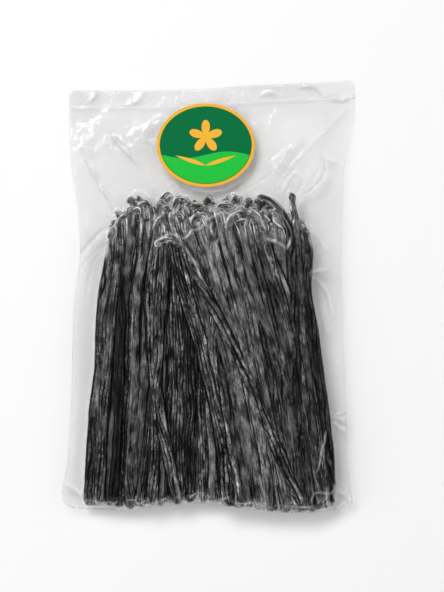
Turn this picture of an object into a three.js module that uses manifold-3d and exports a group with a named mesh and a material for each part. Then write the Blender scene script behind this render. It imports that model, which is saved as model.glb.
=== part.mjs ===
// A clear vacuum bag packed with cured vanilla pods, lying on its back with its label up.
//
// Millimetres. +X runs across the bag, +Y along the pods towards the heat-sealed mouth and +Z up.
// The origin is under the middle of the bag's outline, on the surface that the bag rests on.
//
// Nodes:
//   pouch  the sealed bag: the film's margins and flap, the bulge, and the pods that stand out in it
//   label  a thin oval sticker on the flap

import * as THREE from "three";
import { mergeVertices } from "three/addons/utils/BufferGeometryUtils.js";
import Module from "manifold-3d";

// ---------------------------------------------------------------- driving dimensions

const SHEET_HALF = 0.6; // half the thickness of the two welded films, drawn stiff enough to be a solid
const WELD_Z = 8; // height of the weld line round the bulge
const FLAP_END_Z = 1; // height of the weld line where the flap has come down to the table
const DROOP_REACH = 80; // distance from the bulge over which the weld line comes down
const TAIL_REACH = 14; // distance from the bottom seam over which the bag fills out
const BULGE_TOP = 17.6; // top of the pods under the fanned ones
const GROOVE = 2.2; // depth to which the grooves between neighbouring pods go

const POD_WIDTH = 7.8;
const POD_THICKNESS = 4.6;
const HOOK_LENGTH = 11; // the curled stalk end of a pod
const LOWEST_Z = 1.3; // height of the lowest pods' centre lines, under half a thickness: they lie flat
const LAYERS = 4;
const ACROSS = 23; // pods side by side in a full layer
const NARROW = 0.88; // share of the bundle's width that the top and bottom layers fill
const FAN_COUNT = 15; // pods laid slanting over the others

const PODS_TAIL_Y = -138; // the bundle's blunt end, at the bag's bottom seam
const PODS_HEAD_Y = 68; // the bundle's hooked end, under the flap

// The bag's outline, as four edges that meet at the corners. Each point is [along the edge, offset].
const LEFT_EDGE = [[-136, -95], [-126, -95.5], [-112, -92.5], [-68, -89.5], [-8, -88], [24, -84], [52, -85],
  [89, -90], [134, -91.5]];
const RIGHT_EDGE = [[-137, 94], [-112, 90.7], [-68, 88.8], [-8, 87], [24, 86], [52, 86.8], [89, 89],
  [116, 94.5], [141, 95]];
const BOTTOM_EDGE = [[-95, -136], [-85, -138.6], [-50, -139.4], [-8, -135.3], [30, -140], [66, -141.6],
  [94, -137]];
const TOP_EDGE = [[-91.5, 134], [-38, 133.8], [-6, 134.8], [27, 137.2], [82, 139.6], [95, 141]];

// The sides of the bundle of pods inside it, as [y, x].
const BUNDLE_LEFT = [[-138, -81], [-95, -78.5], [-55, -74.5], [0, -71.5], [27, -67], [68, -66]];
const BUNDLE_RIGHT = [[-138, 82], [-97, 79], [-51, 72.5], [-22, 68.5], [5, 66.5], [40, 65], [68, 60]];

// Creases in the flap and the margins, as [x, y] start, [x, y] end, width, height.
const CREASES = [
  [[39, 68], [72, 97], 5, 1.6],
  [[54, 66], [64, 84], 4, 1.3],
  [[68, 69], [79, 89], 4, 1.4],
  [[12, 70], [47, 86], 5, 1.2],
  [[-62, 66], [-77, 89], 5, 1.5],
  [[-80, 93], [-60, 98], 6, 1.2],
  [[-70, 42], [-81, 22], 5, 1.2],
  [[70, 45], [80, 28], 4, 1],
  [[71, 8], [80, -22], 4, 1],
  [[-89, 123.5], [92, 131], 2.4, 0.5],
];

// The grid of the welded films: its columns as shares of the left margin, the bundle and the right
// margin, and its rows as shares of the bag's length.
const COLUMNS = [0, 0.5, 1, 1.02, 1.1, 1.3, 1.5, 1.7, 1.9, 1.98, 2, 2.5, 3];
const ROWS = [0, 0.006, 0.02, 0.06, 0.3, 0.55, 0.67, 0.72, 0.757, 0.8, 0.84, 0.88, 0.92, 0.96, 1];

const LABEL = {
  x: -2,
  y: 98,
  halfWidth: 32,
  halfHeight: 27.5,
  thickness: 0.4,
  gap: 0.3,
  sides: 40,
  rings: 3,
};

// ---------------------------------------------------------------- small helpers

const clamp = (t, low, high) => Math.min(high, Math.max(low, t));
const lerp = THREE.MathUtils.lerp;
const smooth = (t) => clamp(t, 0, 1) ** 2 * (3 - 2 * clamp(t, 0, 1));

// A repeatable draw from 0 to 1, one for each pod and purpose.
function draw(pod, purpose) {
  const wave = Math.sin(pod * 12.9898 + purpose * 78.233) * 43758.5453;
  return wave - Math.floor(wave);
}

// A smooth function through points [input, output], by cubic pieces with averaged slopes.
function through(points) {
  const slope = (i, j) => (points[j][1] - points[i][1]) / (points[j][0] - points[i][0]);
  const last = points.length - 1;
  const slopes = points.map((_, i) => slope(Math.max(i - 1, 0), Math.min(i + 1, last)));
  return (input) => {
    const found = points.findIndex((p) => p[0] > input);
    const i = found < 0 ? last - 1 : Math.max(found - 1, 0);
    const span = points[i + 1][0] - points[i][0];
    const t = clamp((input - points[i][0]) / span, 0, 1);
    const bend = span * t * (1 - t) * (slopes[i] * (1 - t) - slopes[i + 1] * t);
    return lerp(points[i][1], points[i + 1][1], smooth(t)) + bend;
  };
}

// ---------------------------------------------------------------- the bag's surfaces

const leftEdge = through(LEFT_EDGE);
const rightEdge = through(RIGHT_EDGE);
const bottomEdge = through(BOTTOM_EDGE);
const topEdge = through(TOP_EDGE);
const bundleLeft = through(BUNDLE_LEFT);
const bundleRight = through(BUNDLE_RIGHT);

// The point of the bag at u across and v along, blended from the four edges.
function sheetPoint(u, v) {
  const [bottomLeft, bottomRight] = [LEFT_EDGE[0], RIGHT_EDGE[0]].map(([y, x]) => new THREE.Vector2(x, y));
  const [topLeft, topRight] = [LEFT_EDGE.at(-1), RIGHT_EDGE.at(-1)].map(([y, x]) => new THREE.Vector2(x, y));
  const leftY = lerp(bottomLeft.y, topLeft.y, v);
  const rightY = lerp(bottomRight.y, topRight.y, v);
  const bottomX = lerp(bottomLeft.x, bottomRight.x, u);
  const topX = lerp(topLeft.x, topRight.x, u);
  const corners = bottomLeft.clone().lerp(bottomRight, u).lerp(topLeft.clone().lerp(topRight, u), v);
  return new THREE.Vector2()
    .addScaledVector(new THREE.Vector2(leftEdge(leftY), leftY), 1 - u)
    .addScaledVector(new THREE.Vector2(rightEdge(rightY), rightY), u)
    .addScaledVector(new THREE.Vector2(bottomX, bottomEdge(bottomX)), 1 - v)
    .addScaledVector(new THREE.Vector2(topX, topEdge(topX)), v)
    .sub(corners);
}

// How full the bag is at a point: 1 over the middle of the bundle and 0 outside it.
function fullness(x, y) {
  const left = bundleLeft(y);
  const right = bundleRight(y);
  const across = Math.abs((2 * (x - left)) / (right - left) - 1);
  const along = clamp((y + PODS_HEAD_Y) / (2 * PODS_HEAD_Y), 0, 1);
  const short = clamp(1 - (y - bottomEdge(x)) / TAIL_REACH, 0, 1);
  const sides = 1 - across ** 5;
  return Math.sqrt(Math.max(sides, 0) * (1 - along ** 2.5) * (1 - short ** 2.5));
}

// The height of the weld line, or of the middle of the bag where it is full.
function weldHeight(x, y) {
  const aside = Math.max(bundleLeft(y) - x, x - bundleRight(y), 0);
  const beyond = Math.max(y - PODS_HEAD_Y, PODS_TAIL_Y - y, 0);
  return lerp(WELD_Z, FLAP_END_Z, smooth(Math.hypot(aside, beyond) / DROOP_REACH));
}

const podsTop = (x, y) => lerp(weldHeight(x, y), BULGE_TOP, fullness(x, y));
const podsBottom = (x, y) => weldHeight(x, y) * (1 - fullness(x, y));

const frontHeight = (x, y) => podsTop(x, y) - GROOVE * smooth(2 * fullness(x, y)) + SHEET_HALF;
const backHeight = (x, y) => podsBottom(x, y) + GROOVE * smooth(2 * fullness(x, y)) - SHEET_HALF;

// The share of the bag's width at which a column stands in the row at v.
function acrossShare(column, v) {
  const y = lerp(BOTTOM_EDGE[0][1], TOP_EDGE[0][1], v);
  const left = leftEdge(y);
  const width = rightEdge(y) - left;
  const stops = [0, (bundleLeft(y) - left) / width, (bundleRight(y) - left) / width, 1];
  const zone = Math.min(Math.floor(column), 2);
  return lerp(stops[zone], stops[zone + 1], column - zone);
}

// The bag without its pods: the welded films, opened out round the bundle's core.
function bagGeometry() {
  const columns = COLUMNS.length - 1;
  const rows = ROWS.length - 1;
  const geometry = new THREE.BoxGeometry(1, 1, 1, columns, rows, 1);
  const position = geometry.getAttribute("position");
  for (let i = 0; i < position.count; i++) {
    const column = COLUMNS[Math.round((position.getX(i) + 0.5) * columns)];
    const v = ROWS[Math.round((position.getY(i) + 0.5) * rows)];
    const point = sheetPoint(acrossShare(column, v), v);
    const height = position.getZ(i) > 0 ? frontHeight(point.x, point.y) : backHeight(point.x, point.y);
    position.setXYZ(i, point.x, point.y, height);
  }
  return geometry;
}

// One crease: a low three-sided ridge, pointed at both ends, with its base sunk in the film.
function creaseGeometry([start, end, width, height]) {
  const [from, to] = [start, end].map(([x, y]) => new THREE.Vector3(x, y, frontHeight(x, y)));
  const geometry = new THREE.CylinderGeometry(1, 1, 1, 3, 5);
  const position = geometry.getAttribute("position");
  const side = to.clone().sub(from).cross(new THREE.Vector3(0, 0, 1)).normalize();
  for (let i = 0; i < position.count; i++) {
    const s = position.getY(i) + 0.5;
    const swell = lerp(0.15, 1, smooth(4 * s * (1 - s)));
    const point = from.clone().lerp(to, s).addScaledVector(side, (-position.getX(i) * swell * width) / 2);
    point.z = frontHeight(point.x, point.y) + position.getZ(i) * swell * height;
    position.setXYZ(i, ...point);
  }
  return geometry;
}

// ---------------------------------------------------------------- the pods

// The stations of a pod, from its blunt tail to its hooked head, and its girth along it.
const NECK = 0.93;
const FRONT_STATIONS = [0, 0.04, 0.3, 0.6, 0.84, NECK, 0.965, 1];
const BACK_STATIONS = [0, 0.05, 0.5, 0.84, NECK, 1];
const girth = through([[0, 0.55], [0.03, 0.85], [0.14, 1], [0.6, 1], [0.85, 0.78], [NECK, 0.55], [1, 0.5]]);

// A pod's centre line at s, with the width's direction: straight between its ends, then curled round.
function podCentre(pod, s) {
  const curl = Math.max(s - NECK, 0) / (1 - NECK);
  const y = lerp(pod.tailY, pod.headY, Math.min(s / NECK, 1));
  const x = pod.xAt(y);
  const heading = Math.atan2(pod.headY - pod.tailY, pod.xAt(pod.headY) - pod.xAt(pod.tailY));
  const angle = heading + pod.turn * curl;
  const radius = HOOK_LENGTH / pod.turn;
  const centre = new THREE.Vector3(x, y, pod.zAt(x, y));
  centre.x += radius * (Math.sin(angle) - Math.sin(heading));
  centre.y += radius * (Math.cos(heading) - Math.cos(angle));
  return { centre, forward: new THREE.Vector3(Math.cos(angle), Math.sin(angle), 0) };
}

// One pod: a rod with few sides, flattened, tapered and bent along the pod's centre line.
function podGeometry(pod) {
  const steps = pod.stations.length - 1;
  const geometry = new THREE.CylinderGeometry(1, 1, 1, pod.sides, steps, false, Math.PI / pod.sides);
  const position = geometry.getAttribute("position");
  for (let i = 0; i < position.count; i++) {
    const s = pod.stations[Math.round((position.getY(i) + 0.5) * steps)];
    const { centre, forward } = podCentre(pod, s);
    const up = new THREE.Vector3(0, 0, 1).applyAxisAngle(forward, pod.roll);
    const side = forward.clone().cross(up);
    centre
      .addScaledVector(side, (position.getX(i) * girth(s) * POD_WIDTH) / 2)
      .addScaledVector(up, (position.getZ(i) * girth(s) * POD_THICKNESS) / 2);
    position.setXYZ(i, centre.x, centre.y, centre.z);
  }
  return geometry;
}

// The turn of a pod's hook, to either side, in radians.
const hookTurn = (pod) => (draw(pod, 3) < 0.5 ? -1 : 1) * lerp(0.5, 2.6, draw(pod, 4));

// A pod lying in one of the bundle's layers, at a place from -1 to 1 across it.
function layeredPod(number, layer, place) {
  const level = layer / (LAYERS - 1);
  const inset = POD_WIDTH / 2;
  const sway = (y) => lerp(-1, 1, draw(number, 5)) * Math.sin(y / 35 + 6 * draw(number, 6));
  const lift = lerp(-0.4, 0.4, draw(number, 7));
  const xAt = (y) => lerp(bundleLeft(y) + inset, bundleRight(y) - inset, (place + 1) / 2) + sway(y);
  return {
    xAt,
    zAt: (x, y) => lerp(podsBottom(x, y) + LOWEST_Z, podsTop(x, y) - POD_THICKNESS / 2, level) + lift,
    stations: layer < LAYERS - 1 ? BACK_STATIONS : FRONT_STATIONS,
    sides: layer < LAYERS - 1 ? 4 : 6,
    tailY: bottomEdge(xAt(PODS_TAIL_Y)) + lerp(3, 5, draw(number, 1)),
    headY: lerp(30, 55, draw(number, 2)),
    turn: hookTurn(number),
    roll: 0,
  };
}

// A pod of the fan that lies slanting over the right half of the bundle.
function fannedPod(number, share) {
  const [headX, tailX] = [lerp(-28, 38, share), lerp(3, 73, share)];
  const headY = lerp(36, 56, draw(number, 2));
  const tailY = bottomEdge(tailX) + lerp(3, 5, draw(number, 1));
  return {
    xAt: (y) => lerp(tailX, headX, (y - tailY) / (headY - tailY)),
    zAt: (x, y) => podsTop(x, y) + lerp(1.9, 1.2, share),
    stations: FRONT_STATIONS,
    sides: 6,
    tailY,
    headY,
    turn: hookTurn(number),
    roll: 0.12,
  };
}

// The pods that show: the bottom and top layers, the outermost pods between them, and the fan.
function shownPods() {
  const pods = [];
  const placeOf = (i, count, reach) => reach * ((2 * i) / (count - 1) - 1);
  const narrowCount = Math.round(ACROSS * NARROW);
  for (const layer of [0, LAYERS - 1]) {
    for (let i = 0; i < narrowCount; i++) {
      pods.push(layeredPod(pods.length, layer, placeOf(i, narrowCount, NARROW)));
    }
  }
  for (let layer = 1; layer < LAYERS - 1; layer++) {
    for (const place of [-1, 1]) pods.push(layeredPod(pods.length, layer, place));
  }
  for (let i = 0; i < FAN_COUNT; i++) {
    pods.push(fannedPod(pods.length, i / (FAN_COUNT - 1)));
  }
  return pods;
}

// ---------------------------------------------------------------- solids

const wasm = await Module();
wasm.setup();

function solidOf(geometry) {
  geometry.deleteAttribute("normal");
  geometry.deleteAttribute("uv");
  const merged = mergeVertices(geometry, 1e-4);
  return new wasm.Manifold(
    new wasm.Mesh({
      numProp: 3,
      vertProperties: merged.getAttribute("position").array,
      triVerts: new Uint32Array(merged.index.array),
    }),
  );
}

function geometryOf(solid) {
  const mesh = solid.getMesh();
  const geometry = new THREE.BufferGeometry();
  geometry.setAttribute("position", new THREE.BufferAttribute(mesh.vertProperties, 3));
  geometry.setIndex(new THREE.BufferAttribute(mesh.triVerts, 1));
  geometry.computeVertexNormals();
  return geometry;
}

// The sealed bag: its films and core with the pods fused on, cut flat where it rests on the table.
// Only its outer shell is kept, so that the hollows that the pods close between them are filled.
function pouchGeometry() {
  const table = new THREE.BoxGeometry(400, 400, 100).translate(0, 0, -50);
  let pouch = solidOf(bagGeometry());
  for (const crease of CREASES) pouch = pouch.add(solidOf(creaseGeometry(crease)));
  for (const pod of shownPods()) pouch = pouch.add(solidOf(podGeometry(pod)));
  const shells = pouch.subtract(solidOf(table)).decompose();
  const filled = shells.reduce((largest, shell) => (shell.volume() > largest.volume() ? shell : largest));
  return geometryOf(filled);
}

// The sticker: a thin oval disc that follows the flap.
function labelGeometry() {
  const { halfWidth, halfHeight, thickness, gap, sides, rings } = LABEL;
  const ringShares = Array.from({ length: rings + 1 }, (_, i) => i / rings);
  const profile = [
    ...ringShares.map((share) => new THREE.Vector2(share, 0)),
    ...ringShares.toReversed().map((share) => new THREE.Vector2(share, 1)),
  ];
  const geometry = new THREE.LatheGeometry(profile, sides);
  const position = geometry.getAttribute("position");
  for (let i = 0; i < position.count; i++) {
    const x = LABEL.x - position.getX(i) * halfWidth;
    const y = LABEL.y + position.getZ(i) * halfHeight;
    position.setXYZ(i, x, y, weldHeight(x, y) + SHEET_HALF + gap + position.getY(i) * thickness);
  }
  return geometry;
}

function mesh(name, geometry, material) {
  const made = new THREE.Mesh(geometry, new THREE.MeshStandardMaterial(material));
  made.name = name;
  return made;
}

const bag = new THREE.Group();
bag.add(mesh("pouch", pouchGeometry(), { color: 0x2b2927, roughness: 0.35, metalness: 0 }));
bag.add(mesh("label", labelGeometry(), { color: 0x0b7a3f, roughness: 0.5, metalness: 0 }));

const middle = new THREE.Box3().setFromObject(bag).getCenter(new THREE.Vector3());
bag.position.set(-middle.x, -middle.y, 0);

export default bag;
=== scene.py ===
"""A clear vacuum bag packed with cured vanilla pods, lying flat with its label up.

Lengths are in millimetres, in the outline's own coordinates, until a mesh is made: +X across the bag,
+Y along the pods towards the sealed mouth, +Z up.
"""

from itertools import product
from math import atan2, cos, pi, sin

import bpy
import numpy as np
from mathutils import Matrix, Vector
from mathutils.bvhtree import BVHTree


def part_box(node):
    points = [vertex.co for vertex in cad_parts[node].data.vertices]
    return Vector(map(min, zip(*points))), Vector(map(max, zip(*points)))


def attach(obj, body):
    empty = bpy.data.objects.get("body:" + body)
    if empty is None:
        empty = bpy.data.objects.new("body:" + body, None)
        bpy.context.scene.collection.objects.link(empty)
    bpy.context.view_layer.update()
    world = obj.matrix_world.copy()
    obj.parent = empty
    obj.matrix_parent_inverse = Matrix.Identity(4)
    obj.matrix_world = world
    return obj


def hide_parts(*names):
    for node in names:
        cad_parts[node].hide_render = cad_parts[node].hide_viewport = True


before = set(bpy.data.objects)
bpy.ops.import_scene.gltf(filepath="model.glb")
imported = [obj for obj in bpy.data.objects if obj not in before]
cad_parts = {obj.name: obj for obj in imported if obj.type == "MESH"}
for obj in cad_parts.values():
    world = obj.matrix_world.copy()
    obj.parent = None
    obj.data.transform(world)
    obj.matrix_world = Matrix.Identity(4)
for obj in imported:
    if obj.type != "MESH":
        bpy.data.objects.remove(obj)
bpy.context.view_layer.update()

# ---- driving dimensions

MM = 0.001  # a millimetre in the scene's metres
UP, DOWN = Vector((0, 0, 1)), Vector((0, 0, -1))
WELD_Z = 8  # the welded edge's height beside the bundle
FLAP_END_Z = 1  # its height where the flap and the margins have sagged to the table
DROOP_REACH = 80  # how far from the bundle they go on sagging
TAIL_REACH = 14  # how far in from the bottom edge the bundle thickens
BULGE_TOP = 17.6  # the bundle's top over its middle
PODS_TAIL_Y, PODS_HEAD_Y = -138, 68  # the bundle's ends

# The bag's outline as (y, x) up its sides and (x, y) along its ends, and the bundle's sides as (y, x).
LEFT_EDGE = [(-136, -95), (-126, -95.5), (-112, -92.5), (-68, -89.5), (-8, -88), (24, -84), (52, -85),
             (89, -90), (134, -91.5)]
RIGHT_EDGE = [(-137, 94), (-112, 90.7), (-68, 88.8), (-8, 87), (24, 86), (52, 86.8), (89, 89),
              (116, 94.5), (141, 95)]
BOTTOM_EDGE = [(-95, -136), (-85, -138.6), (-50, -139.4), (-8, -135.3), (30, -140), (66, -141.6),
               (94, -137)]
TOP_EDGE = [(-91.5, 134), (-38, 133.8), (-6, 134.8), (27, 137.2), (82, 139.6), (95, 141)]
BUNDLE_LEFT = [(-138, -81), (-95, -78.5), (-55, -74.5), (0, -71.5), (27, -67), (68, -66)]
BUNDLE_RIGHT = [(-138, 82), (-97, 79), (-51, 72.5), (-22, 68.5), (5, 66.5), (40, 65), (68, 60)]

POD_WIDTH = 7.6
POD_THICKNESS = 4.6
LAYERS = 4  # of pods, from the back film to the front one
LABEL_X, LABEL_Y = -2, 98  # the sticker's middle
LABEL_HALF = (32, 27.5)
LABEL_LIFT = 0.6  # the sticker's underside over the middle of the welded films

low, high = (Vector(corner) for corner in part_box("label"))
SHIFT = np.array([(low.x + high.x) / (2 * MM) - LABEL_X, (low.y + high.y) / (2 * MM) - LABEL_Y, 0])

# ---- small helpers


def smooth(t):
    """An even step from 0 to 1 as t goes from 0 to 1."""
    t = np.clip(t, 0, 1)
    return t * t * (3 - 2 * t)


def mix(a, b, t):
    return a + (b - a) * t


def through(points):
    """A smooth function through points (input, output), by cubic pieces with averaged slopes."""
    x, y = np.array(points, float).T
    last = len(x) - 1
    before = np.maximum(np.arange(last + 1) - 1, 0)
    after = np.minimum(np.arange(last + 1) + 1, last)
    slopes = (y[after] - y[before]) / (x[after] - x[before])

    def value(at):
        i = np.clip(np.searchsorted(x, at, side="right") - 1, 0, last - 1)
        span = x[i + 1] - x[i]
        t = np.clip((at - x[i]) / span, 0, 1)
        bend = span * t * (1 - t) * (slopes[i] * (1 - t) - slopes[i + 1] * t)
        return mix(y[i], y[i + 1], smooth(t)) + bend

    return value


def drift(rng, stations, knots):
    """A column of random numbers from -1 to 1 that change smoothly down it."""
    values = rng.uniform(-1, 1, (knots + 1, 1))
    at = np.linspace(0, knots, stations)
    low_knot = np.minimum(at.astype(int), knots - 1)
    t = smooth(at - low_knot)[:, None]
    return mix(values[low_knot], values[low_knot + 1], t)


def patchwork(rng, angle, knots_along, knots_round):
    """Random numbers from -1 to 1, smooth along a pod and round it, for a grid of angles."""
    values = rng.uniform(-1, 1, (knots_along + 1, knots_round))
    at = np.linspace(0, knots_along, len(angle))[:, None] + 0 * angle
    turn = angle / (2 * pi) * knots_round
    i, j = np.minimum(at.astype(int), knots_along - 1), np.floor(turn).astype(int)
    s, t = smooth(at - i), smooth(turn - j)
    j, after = j % knots_round, (j + 1) % knots_round
    return mix(mix(values[i, j], values[i, after], t), mix(values[i + 1, j], values[i + 1, after], t), s)


# ---- the bag's form

left_edge, right_edge, bottom_edge, top_edge = map(through, (LEFT_EDGE, RIGHT_EDGE, BOTTOM_EDGE, TOP_EDGE))
bundle_left, bundle_right = through(BUNDLE_LEFT), through(BUNDLE_RIGHT)


def sheet_point(u, v):
    """The bag's plan point at u across and v along, blended from its four edges."""
    (bl_y, bl_x), (tl_y, tl_x) = LEFT_EDGE[0], LEFT_EDGE[-1]
    (br_y, br_x), (tr_y, tr_x) = RIGHT_EDGE[0], RIGHT_EDGE[-1]
    left_y, right_y = mix(bl_y, tl_y, v), mix(br_y, tr_y, v)
    bottom_x, top_x = mix(bl_x, br_x, u), mix(tl_x, tr_x, u)
    x = mix(left_edge(left_y), right_edge(right_y), u) + mix(bottom_x, top_x, v)
    y = mix(left_y, right_y, u) + mix(bottom_edge(bottom_x), top_edge(top_x), v)
    return x - mix(bottom_x, top_x, v), y - mix(mix(bl_y, br_y, u), mix(tl_y, tr_y, u), v)


def fullness(x, y):
    """How full the bag is at a point: 1 over the middle of the bundle and 0 outside it."""
    left, right = bundle_left(y), bundle_right(y)
    across = np.abs(2 * (x - left) / (right - left) - 1)
    along = np.clip((y + PODS_HEAD_Y) / (2 * PODS_HEAD_Y), 0, 1)
    short = np.clip(1 - (y - bottom_edge(x)) / TAIL_REACH, 0, 1)
    return np.sqrt(np.maximum(1 - across**5, 0) * (1 - along**2.5) * (1 - short**2.5))


def outside(x, y):
    """The distance from the bundle of pods."""
    aside = np.maximum(np.maximum(bundle_left(y) - x, x - bundle_right(y)), 0)
    beyond = np.maximum(np.maximum(y - PODS_HEAD_Y, PODS_TAIL_Y - y), 0)
    return np.hypot(aside, beyond)


def weld_height(x, y):
    """The middle of the two films where they lie on each other."""
    return mix(WELD_Z, FLAP_END_Z, smooth(outside(x, y) / DROOP_REACH))


def pods_top(x, y):
    """The bundle's top."""
    return mix(weld_height(x, y), BULGE_TOP, fullness(x, y))


def pods_bottom(x, y):
    """The bundle's underside."""
    return weld_height(x, y) * (1 - fullness(x, y))


# ---- materials

MIX_FIRST, MIX_SECOND, MIX_RESULT = 6, 7, 2  # a Mix node's sockets for colours
EVEN_GRAIN = 0.53  # the grain of a skin without streaks
# the film's darker tint is painted shade, at its strongest beside the creases
CLEAREST, PAINTED_SHADE_TINT = 0.985, 0.62  # the light that flat film and its darkest slopes let through

def material(name):
    """A new node material: the material, its node tree and its Principled shader."""
    made = bpy.data.materials.new(name)
    made.use_nodes = True
    return made, made.node_tree, made.node_tree.nodes["Principled BSDF"]


def plug(tree, made, inputs):
    """Gives each of a node's inputs a value or another node's socket."""
    for key, value in inputs.items():
        if isinstance(value, bpy.types.NodeSocket):
            tree.links.new(value, made.inputs[key])
        else:
            made.inputs[key].default_value = value


def node(tree, kind, inputs, **settings):
    made = tree.nodes.new("ShaderNode" + kind)
    for key, value in settings.items():
        setattr(made, key, value)
    plug(tree, made, inputs)
    return made


def ramp(tree, value, stops):
    """Colours or greys along a value: stops are (position, grey or colour)."""
    made = node(tree, "ValToRGB", {"Fac": value})
    elements = made.color_ramp.elements
    while len(elements) < len(stops):
        elements.new(0.5)
    for element, (position, tone) in zip(elements, stops):
        element.position = position
        element.color = (*(tone if isinstance(tone, tuple) else (tone,) * 3), 1)
    return made.outputs["Color"]


def noise(tree, vector, scale, detail, roughness, distortion=0.0):
    return node(tree, "TexNoise", {"Vector": vector, "Scale": scale, "Detail": detail,
                                   "Roughness": roughness, "Distortion": distortion}).outputs["Fac"]


def bump(tree, height, distance, strength, normal=None):
    inputs = {"Height": height, "Distance": distance, "Strength": strength}
    if normal:
        inputs["Normal"] = normal
    return node(tree, "Bump", inputs).outputs["Normal"]


def blended(tree, factor, first, second, **settings):
    """Two colours blended by a factor."""
    colours = {"Factor": factor, MIX_FIRST: first, MIX_SECOND: second}
    return node(tree, "Mix", colours, data_type="RGBA", **settings).outputs[MIX_RESULT]


def math(tree, operation, *values):
    return node(tree, "Math", dict(enumerate(values)), operation=operation).outputs[0]


def map_range(tree, value, from_min, from_max, to_min, to_max):
    return node(tree, "MapRange", {"Value": value, "From Min": from_min, "From Max": from_max,
                                   "To Min": to_min, "To Max": to_max}).outputs[0]


def attribute(tree, name, output="Fac"):
    """What set_attribute stored on the mesh."""
    return node(tree, "Attribute", {}, attribute_name=name).outputs[output]


def stretched(tree, vector, scale):
    return node(tree, "Mapping", {"Vector": vector, "Scale": scale}).outputs["Vector"]


def object_coordinates(tree):
    return node(tree, "TexCoord", {}).outputs["Object"]


def pod_material():
    """Near-black cured skin, oily on the ridges, with duller, greyer patches. Painted shade makes it black in
    the grooves and along the flanks where the pods meet, painted light makes its crests lighter, and a
    painted highlight of the film pales the edges of its stalk ends.
    """
    made, tree, shader = material("vanilla_skin")
    strand = attribute(tree, "strand", "Vector")
    streak = noise(tree, stretched(tree, strand, (0.8, 0.8, 0.07)), 1.0, 4, 0.6, 0.3)
    fleck = noise(tree, stretched(tree, strand, (0.85, 0.85, 0.33)), 1.0, 3, 0.65, 0.9)
    patch = noise(tree, stretched(tree, strand, (0.3, 0.3, 0.1)), 1.0, 3, 0.6)
    grain = math(tree, "MULTIPLY_ADD", fleck, 0.62, math(tree, "MULTIPLY", streak, 0.38))
    evening = math(tree, "MULTIPLY", math(tree, "SUBTRACT", EVEN_GRAIN, grain), attribute(tree, "plain"))
    grain = math(tree, "MULTIPLY_ADD", evening, 0.8, grain)
    colour = ramp(tree, grain, [(0.41, 0.002), (0.5, 0.046), (0.57, 0.118), (0.66, 0.25)])
    worn = ramp(tree, patch, [(0.36, 0.3), (0.62, 1.6)])
    # painted shade: black in the grooves and along the flanks where the pods meet; painted light: lighter on
    # the crests
    painted_groove_shade = ramp(tree, attribute(tree, "groove_shade"), [(0.0, 1.75), (0.13, 1.2), (0.3, 0.12), (0.45, 0.008)])
    for factor in (worn, painted_groove_shade, attribute(tree, "tone")):
        colour = blended(tree, 1.0, colour, factor, blend_type="MULTIPLY")
    # painted highlight: a pale grey where the film hugs the edges of the stalk ends and the tail tips
    wrapped_highlight = ramp(tree, fleck, [(0.35, 0.2), (0.6, 0.9)])
    colour = blended(tree, attribute(tree, "painted_film_highlight"), colour, wrapped_highlight)
    plug(tree, shader, {"Base Color": colour, "Roughness": ramp(tree, patch, [(0.3, 0.2), (0.7, 0.45)]),
                        "Specular IOR Level": 0.04, "Normal": bump(tree, grain, 0.0012, 0.7)})
    return made


def film_milkiness(tree, here):
    """How much of the film is milky: its milkiness, which carries painted highlights and painted light,
    broken up, and fine lines where it is crumpled.
    """
    crumple_and_painted_glints = attribute(tree, "crumple_and_painted_glints")
    # painted glints: fine white lines where the film is crumpled, partly the crumpled film's own whiteness
    line = math(tree, "ABSOLUTE", math(tree, "SUBTRACT", noise(tree, here, 170, 2, 0.5), 0.5))
    line = math(tree, "MULTIPLY", map_range(tree, line, 0.0, 0.022, 1.0, 0.0), crumple_and_painted_glints)
    uneven = map_range(tree, noise(tree, here, 420, 3, 0.6), 0.38, 0.62, -0.75, 0.75)
    uneven = math(tree, "MULTIPLY_ADD", uneven, crumple_and_painted_glints, 1.0)
    return math(tree, "MULTIPLY_ADD", line, 0.5, math(tree, "MULTIPLY", attribute(tree, "haze_and_painted_light"), uneven))


def film_material():
    """Clear film: mostly see-through, with a grey milky veil that carries painted highlights where it is
    creased, a see-through tint that painted shade darkens, and a sharp gloss.
    """
    made, tree, shader = material("clear_film")
    tree.nodes.remove(shader)
    here = object_coordinates(tree)
    crinkle = bump(tree, noise(tree, stretched(tree, here, (1, 0.3, 1)), 260, 4, 0.55), 0.0012, 0.35)
    crinkle = bump(tree, noise(tree, here, 70, 2, 0.5), 0.004, 0.3, crinkle)
    # painted shade darkens the film's see-through tint
    tint = ramp(tree, attribute(tree, "shade"), [(0.0, CLEAREST), (1.0, PAINTED_SHADE_TINT)])
    clear = node(tree, "BsdfTransparent", {"Color": tint})
    milky = node(tree, "BsdfDiffuse", {"Color": (0.9, 0.9, 0.9, 1), "Normal": crinkle})
    body = node(tree, "MixShader", {0: film_milkiness(tree, here), 1: clear.outputs[0],
                                    2: milky.outputs[0]})
    touch = attribute(tree, "touch")
    facing = node(tree, "LayerWeight", {"Blend": 0.5, "Normal": crinkle}).outputs["Facing"]
    straight, slant_share, blur = (map_range(tree, touch, 0.0, 1.0, free, lying)
                                   for free, lying in ((0.03, 0.007), (1.0, 0.5), (0.13, 0.24)))
    slanting = math(tree, "MINIMUM", math(tree, "POWER", facing, 5.0), 0.14)
    mirror = math(tree, "MULTIPLY_ADD", slanting, slant_share, straight)
    gloss = node(tree, "BsdfGlossy", {"Color": (1, 1, 1, 1), "Roughness": blur, "Normal": crinkle})
    skin = node(tree, "MixShader", {0: mirror, 1: body.outputs[0], 2: gloss.outputs[0]})
    tree.links.new(skin.outputs[0], tree.nodes["Material Output"].inputs["Surface"])
    return made


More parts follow.
